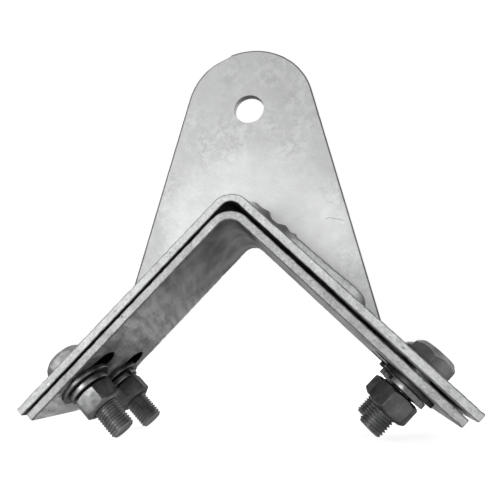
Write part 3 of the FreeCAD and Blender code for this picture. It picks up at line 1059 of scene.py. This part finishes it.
def dark_steel(name, brightness, roughness=0.36, metallic=0.8, turned=1.0, place_shade=None):
    """Dark zinc on a fastener: smooth, mottled, lightly scuffed, with a set tone on turned ends and painted
    light and shade by place where given.
    """
    material = bpy.data.materials.new(name)
    n = Nodes(material)
    mottle = n.ramp(n.noise(150.0, 5.0, 0.6), 0.3, 0.7, 0.72, 1.25)
    scuffs = n.ramp(n.noise(330.0, 6.0, 0.7, 0.5), 0.56, 0.72, 0.0, STEEL_SCUFFS)
    on_turned = n.ramp(n.attribute("turned"), 0.0, 1.0, 1.0, turned)
    value = n.product(n.math("ADD", mottle, scuffs), brightness, on_turned)
    if place_shade:
        value = n.product(value, place_shade(n))
    n.link(n.grey(value), n.shader.inputs["Base Color"])
    n.shader.inputs["Metallic"].default_value = metallic
    n.shader.inputs["Specular Tint"].default_value = STEEL_GRAZING_TINT
    n.shader.inputs["Specular IOR Level"].default_value = STEEL_GLOSS
    dullness = n.ramp(n.noise(210.0), 0.3, 0.7, roughness - 0.07, roughness + 0.12)
    n.link(dullness, n.shader.inputs["Roughness"])
    n.link(n.bump(n.noise(420.0), 0.0002, 0.5), n.shader.inputs["Normal"])
    return material


# Stage, lights and camera


def seen_share(n):
    """1 for what the camera, a reflection or a transmission sees, 0 for light that falls on the object."""
    path = n.add("ShaderNodeLightPath")
    seen = path.outputs["Is Camera Ray"]
    for key in ("Is Glossy Ray", "Is Transmission Ray"):
        seen = n.math("MAXIMUM", seen, path.outputs[key])
    return seen


def floor():
    """Plane that looks pale and keeps the object's shadow, but throws little light back."""
    mesh = bpy.data.meshes.new("floor")
    low = CAD_BOX[0].z - FLOOR_GAP
    corners = [(x * FLOOR_HALF, y * FLOOR_HALF, low) for x, y in ((-1, -1), (1, -1), (1, 1), (-1, 1))]
    mesh.from_pydata(corners, [], [(0, 1, 2, 3)])
    plane = bpy.data.objects.new("floor", mesh)
    bpy.context.scene.collection.objects.link(plane)
    material = bpy.data.materials.new("floor")
    n = Nodes(material)
    n.shader.inputs["Base Color"].default_value = (0.25, 0.25, 0.25, 1)
    n.shader.inputs["Roughness"].default_value = 0.9
    pale = n.add("ShaderNodeBsdfDiffuse")
    pale.inputs["Color"].default_value = (0.9, 0.9, 0.9, 1)
    glow = n.add("ShaderNodeEmission")
    glow.inputs["Color"].default_value = (1, 1, 1, 1)
    away = n.add("ShaderNodeVectorMath", operation="LENGTH")
    n.link(n.place, away.inputs[0])
    n.link(n.ramp(away.outputs["Value"], 0.3, 1.6, 0.78, 1.0), glow.inputs["Strength"])
    both = n.add("ShaderNodeAddShader")
    n.link(pale.outputs[0], both.inputs[0])
    n.link(glow.outputs[0], both.inputs[1])
    mix = n.add("ShaderNodeMixShader")
    n.link(seen_share(n), mix.inputs[0])
    n.link(n.shader.outputs[0], mix.inputs[1])
    n.link(both.outputs[0], mix.inputs[2])
    n.link(mix.outputs[0], n.tree.nodes["Material Output"].inputs["Surface"])
    mesh.materials.append(material)


def world():
    """White backdrop that gives the object only a faint even light."""
    made = bpy.data.worlds.new("studio")
    bpy.context.scene.world = made
    n = Nodes(made)
    background = n.tree.nodes["Background"]
    n.link(n.ramp(seen_share(n), 0.0, 1.0, WORLD_FILL, 1.0), background.inputs["Strength"])
    background.inputs["Color"].default_value = (1, 1, 1, 1)


def soft_light(name, at, towards, side, power):
    """Square area light at a place, turned towards a point."""
    data = bpy.data.lights.new(name, "AREA")
    data.shape = "RECTANGLE"
    data.size = side
    data.size_y = side
    data.energy = power
    lamp = bpy.data.objects.new(name, data)
    bpy.context.scene.collection.objects.link(lamp)
    lamp.location = at
    lamp.rotation_mode = "QUATERNION"
    lamp.rotation_quaternion = (Vector(towards) - Vector(at)).to_track_quat("-Z", "Y")


def camera():
    """Camera at the photograph's viewing angle."""
    data = bpy.data.cameras.new("camera")
    data.sensor_width = SENSOR
    data.lens = LENS
    data.clip_start = 0.01
    data.clip_end = 100.0
    eye = bpy.data.objects.new("camera", data)
    bpy.context.scene.collection.objects.link(eye)
    forward, up = Vector(CAMERA_FORWARD).normalized(), Vector(CAMERA_UP).normalized()
    right = forward.cross(up)
    turn = Matrix((right, up, -forward)).transposed()
    eye.matrix_world = Matrix.Translation(CAMERA_AT) @ turn.to_4x4()
    bpy.context.scene.camera = eye


# The whole clamp


def straps():
    """Both bent straps: the inner one's corner lies in the outer one's, a gap away on each leg."""
    left = STRAP_THICKNESS + GAP_LEFT
    right = STRAP_THICKNESS + GAP_RIGHT
    inner_corner = CORNER + np.array([(left - right) * SIN45, 0.0, -(left + right) * SIN45])
    outer_zinc = zinc("strap_zinc", 0.73, outer_strap_shade, grain_depth=0.12, speckle=0.32)
    inner_zinc = zinc(
        "strap_zinc_streaked", 0.57, inner_strap_shade,
        contrast=1.3, grain_depth=0.10, streaks=0.30, speckle=0.30, waviness=0.0003)
    strap(
        "outer_strap", "outer_angle", "clamp_body", CORNER, OUTER_LEG, OUTER_BEND,
        seed=1, slots=False, mating=-1, materials=[outer_zinc])
    strap(
        "inner_strap", "inner_angle", "inner_strap", inner_corner, INNER_LEG, INNER_BEND,
        seed=2, slots=True, mating=1, materials=[inner_zinc])


def fasteners():
    """Bolt, nut and washers at each corner, in tones matched corner by corner, with painted light and shade:
    the left heads, left flat washers and left front nut are lighter copies of the same steel, the right
    heads' turned ends are set lighter, and the heads lighten or darken down their legs.
    """
    thread = dark_steel("thread_dark", 0.17)
    # Painted light and shade across the heads, changing down their legs
    left_shade = down_leg_shade("left", 157.0, 173.0, 1.25, 0.4)
    right_shade = down_leg_shade("right", 156.0, 164.0, 0.78, 1.4)
    heads = {
        "left": dark_steel("head_left", 0.25, 0.5, 0.4, turned=0.9, place_shade=left_shade),
        "right": dark_steel("head_right", 0.09, turned=2.6, place_shade=right_shade)}
    flats = {
        "left": dark_steel("flat_washer_left", 0.13, 0.28),
        "right": dark_steel("flat_washer_right", 0.04)}
    spring = dark_steel("spring_washer", 0.17, 0.3)
    for corner in CORNERS:
        side = corner.split("_")[0]
        bolt(corner, [heads[side], thread])
        nut(corner, [dark_steel("nut_" + corner, NUT_PAINTED_TONES[corner])])
        flat_washer(corner, [flats[side]])
        spring_washer(corner, [spring])


def build():
    """All 21 pieces."""
    straps()
    lug([zinc("lug_zinc", 0.69, lug_painted_light_and_marks, contrast=0.5, grain_depth=0.05, pitting=0.08)])
    bead = weld_zinc()
    weld("front_weld", "weld_front", -1, 4, FRONT_LUMPS, [bead])
    weld("back_weld", "weld_back", 1, 9, BACK_LUMPS, [bead])
    fasteners()


build()
floor()
world()
for light in LIGHTS:
    soft_light(*light)
camera()
bpy.context.scene.view_settings.view_transform = "Standard"
